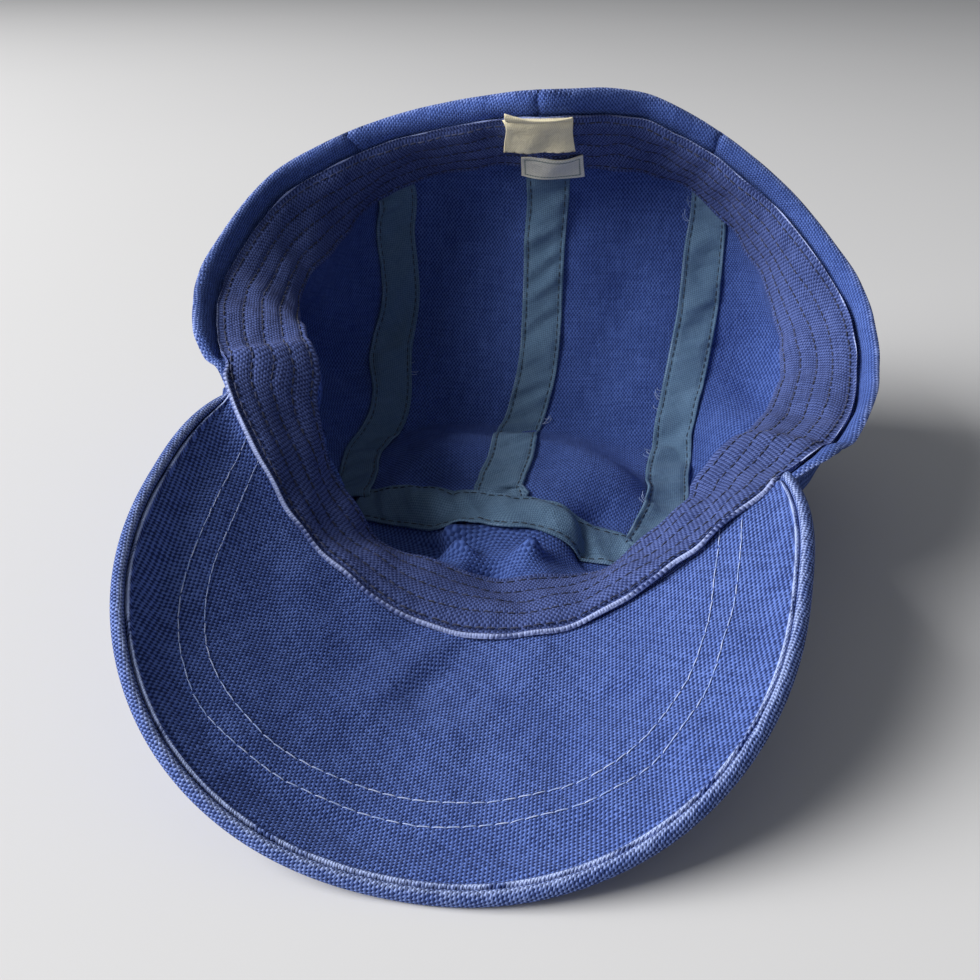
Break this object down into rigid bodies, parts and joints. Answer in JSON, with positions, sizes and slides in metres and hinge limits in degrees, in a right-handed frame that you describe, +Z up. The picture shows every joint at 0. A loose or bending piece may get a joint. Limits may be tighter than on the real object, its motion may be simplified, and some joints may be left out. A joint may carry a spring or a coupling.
{
  "type": "five-panel cap",
  "caption": "Soft navy canvas cap with a curved visor, lying upside down with the front folded flat and the back of the crown standing, its taped seams, sweatband and blank labels in view",
  "frame": {"origin": "on the surface the cap rests on, under the middle of its bounding box", "axes": "+Z up, -Y towards the front edge of the visor, +X towards the cap's right side as seen from the visor"},
  "size_m": [0.2056, 0.246, 0.1229],
  "materials": {
    "canvas": "matt washed navy cotton canvas",
    "visor_canvas": "matt washed navy cotton canvas, worn pale along the edge",
    "sweatband": "matt dark navy cotton canvas with stitch rows",
    "seam_tape": "matt greenish navy cotton tape",
    "label_satin": "soft cream satin ribbon, blank",
    "label_woven": "matt cream woven label, blank"
  },
  "bodies": {
    "root": {"front_panel": "canvas", "top_panel_left": "canvas", "top_panel_right": "canvas", "side_panel_left": "canvas", "side_panel_right": "canvas", "tape_left": "seam_tape", "tape_centre": "seam_tape", "tape_right": "seam_tape", "tape_front": "seam_tape", "sweatband": "sweatband", "visor_upper": "visor_canvas", "visor_under": "visor_canvas", "size_tab": "label_satin", "woven_label": "label_woven"}
  },
  "joints": []
}
